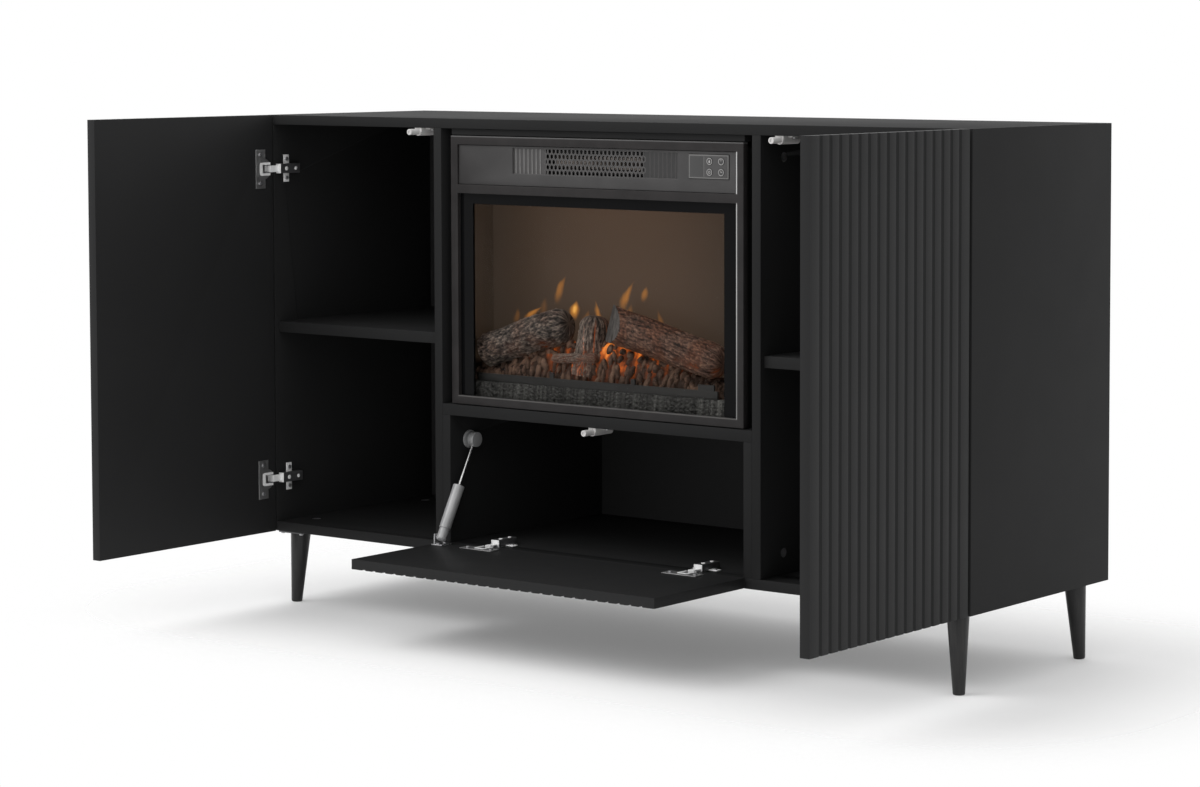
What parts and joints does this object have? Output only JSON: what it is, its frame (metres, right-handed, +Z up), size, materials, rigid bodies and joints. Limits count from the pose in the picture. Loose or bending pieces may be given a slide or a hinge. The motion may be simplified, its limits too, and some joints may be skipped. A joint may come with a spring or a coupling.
{
  "type": "fireplace tv stand",
  "caption": "Low media cabinet with fluted side doors, a drop-down fluted flap on a gas strut and an electric fireplace insert with glowing logs, on splayed tapered legs.",
  "frame": {"origin": "on the floor, at the middle of the box around the cabinet with its doors and flap open", "axes": "+X to the right as seen from the front, -Y to the front, +Z up"},
  "size_m": [1.4, 0.7954, 0.824],
  "materials": {
    "carcass_board": "matt dark grey laminate",
    "front_board": "matt dark grey fluted board",
    "back_board": "thin dark board",
    "leg_wood": "black lacquer",
    "dark_steel": "satin dark grey",
    "bright_steel": "polished",
    "zinc_steel": "zinc plated",
    "latch_plastic": "moulded light grey",
    "inlet_plastic": "moulded black",
    "plunger_plastic": "moulded pale grey",
    "strut_paint": "satin grey",
    "insert_metal": "satin black",
    "inner_metal": "matt black",
    "panel_gloss": "piano black",
    "clear_glass": "clear",
    "screen_film": "smoked diffuser",
    "log_resin": "painted resin bark",
    "ember_resin": "painted resin, lit from below",
    "lamp_white": "diffuser",
    "circuit_green": "solder mask"
  },
  "bodies": {
    "cabinet": {"top_panel": "carcass_board", "bottom_panel": "carcass_board", "left_side_panel": "carcass_board", "right_side_panel": "carcass_board", "left_divider": "carcass_board", "right_divider": "carcass_board", "left_inner_panel": "carcass_board", "right_inner_panel": "carcass_board", "insert_shelf": "carcass_board", "filler_rail": "carcass_board", "left_shelf": "carcass_board", "right_shelf": "carcass_board", "back_panels": "back_board", "front_legs": "leg_wood", "rear_legs": "leg_wood", "leg_plates": "dark_steel", "shelf_pins": "zinc_steel", "body_screws": "zinc_steel", "cam_fittings": "zinc_steel", "hinge_plates": "bright_steel", "hinge_arms": "bright_steel", "hinge_pins": "zinc_steel", "latch_housings": "latch_plastic", "strut_wall_bracket": "strut_paint", "insert_casing": "inner_metal", "insert_front_frame": "insert_metal", "control_bar": "insert_metal", "air_grille": "insert_metal", "control_panel": "panel_gloss", "front_glass": "clear_glass", "flame_screen": "screen_film", "log_set": "log_resin", "ember_bed": "ember_resin", "fire_grate": "inner_metal", "drive_motors": "dark_steel", "led_strip": "lamp_white", "heater_unit": "zinc_steel", "control_board": "circuit_green", "power_inlet": "inlet_plastic"},
    "left_door": {"left_door": "front_board", "left_hinge_cups": "bright_steel", "left_cup_screws": "zinc_steel"},
    "right_door": {"right_door": "front_board", "right_hinge_cups": "bright_steel", "right_cup_screws": "zinc_steel"},
    "flap": {"flap": "front_board", "flap_hinge_cups": "bright_steel", "flap_screws": "zinc_steel", "strut_flap_bracket": "zinc_steel"},
    "left_plunger": {"left_latch_plunger": "plunger_plastic"},
    "right_plunger": {"right_latch_plunger": "plunger_plastic"},
    "flap_plunger": {"flap_latch_plunger": "plunger_plastic"},
    "strut_cylinder": {"strut_cylinder": "strut_paint"},
    "strut_rod": {"strut_rod": "bright_steel"},
    "flame_rotor": {"flame_rotor": "bright_steel"},
    "blower_wheel": {"blower_wheel": "zinc_steel"},
    "power_button": {"power_button": "panel_gloss"},
    "flame_button": {"flame_button": "panel_gloss"},
    "heat_button": {"heat_button": "panel_gloss"},
    "timer_button": {"timer_button": "panel_gloss"}
  },
  "joints": [
    {"name": "left_door_hinge", "type": "hinge", "parent": "cabinet", "child": "left_door", "pos_m": [-0.691, -0.00925, 0.473], "axis": [0, 0, 1], "range_deg": [-5, 90]},
    {"name": "right_door_hinge", "type": "hinge", "parent": "cabinet", "child": "right_door", "pos_m": [0.691, -0.00925, 0.473], "axis": [0, 0, -1], "range_deg": [-5, 90]},
    {"name": "flap_hinge", "type": "hinge", "parent": "cabinet", "child": "flap", "pos_m": [0, -0.00925, 0.131], "axis": [-1, 0, 0], "range_deg": [0, 90]},
    {"name": "left_latch_push", "type": "slide", "parent": "cabinet", "child": "left_plunger", "axis": [0, 1, 0], "range_m": [-0.0012, 0.0174]},
    {"name": "right_latch_push", "type": "slide", "parent": "cabinet", "child": "right_plunger", "axis": [0, 1, 0], "range_m": [-0.0012, 0.0174]},
    {"name": "flap_latch_push", "type": "slide", "parent": "cabinet", "child": "flap_plunger", "axis": [0, 1, 0], "range_m": [-0.0012, 0.0174]},
    {"name": "strut_swing", "type": "hinge", "parent": "flap", "child": "strut_cylinder", "pos_m": [-0.282, -0.03325, 0.151], "axis": [1, 0, 0], "range_deg": [-0.5, 105]},
    {"name": "strut_stroke", "type": "slide", "parent": "strut_cylinder", "child": "strut_rod", "axis": [0, 0.4772, 0.8788], "range_m": [-0.0205, 0.0005]},
    {"name": "flame_spin", "type": "hinge", "parent": "cabinet", "child": "flame_rotor", "pos_m": [0, 0.13775, 0.433], "axis": [1, 0, 0], "continuous": true},
    {"name": "blower_spin", "type": "hinge", "parent": "cabinet", "child": "blower_wheel", "pos_m": [0, 0.06725, 0.7585], "axis": [1, 0, 0], "continuous": true},
    {"name": "power_press", "type": "slide", "parent": "cabinet", "child": "power_button", "axis": [0, 1, 0], "range_m": [0, 0.001], "stiffness_N_per_m": 150},
    {"name": "flame_press", "type": "slide", "parent": "cabinet", "child": "flame_button", "axis": [0, 1, 0], "range_m": [0, 0.001], "stiffness_N_per_m": 150},
    {"name": "heat_press", "type": "slide", "parent": "cabinet", "child": "heat_button", "axis": [0, 1, 0], "range_m": [0, 0.001], "stiffness_N_per_m": 150},
    {"name": "timer_press", "type": "slide", "parent": "cabinet", "child": "timer_button", "axis": [0, 1, 0], "range_m": [0, 0.001], "stiffness_N_per_m": 150}
  ],
  "couplings": [
    {"joint": "left_latch_push", "follows": "left_door_hinge", "m_per_rad": 0.011014},
    {"joint": "right_latch_push", "follows": "right_door_hinge", "m_per_rad": 0.011014},
    {"joint": "flap_latch_push", "follows": "flap_hinge", "m_per_rad": 0.011014},
    {"joint": "strut_swing", "follows": "flap_hinge", "ratio": 1.1557},
    {"joint": "strut_stroke", "follows": "flap_hinge", "m_per_rad": -0.01273}
  ]
}
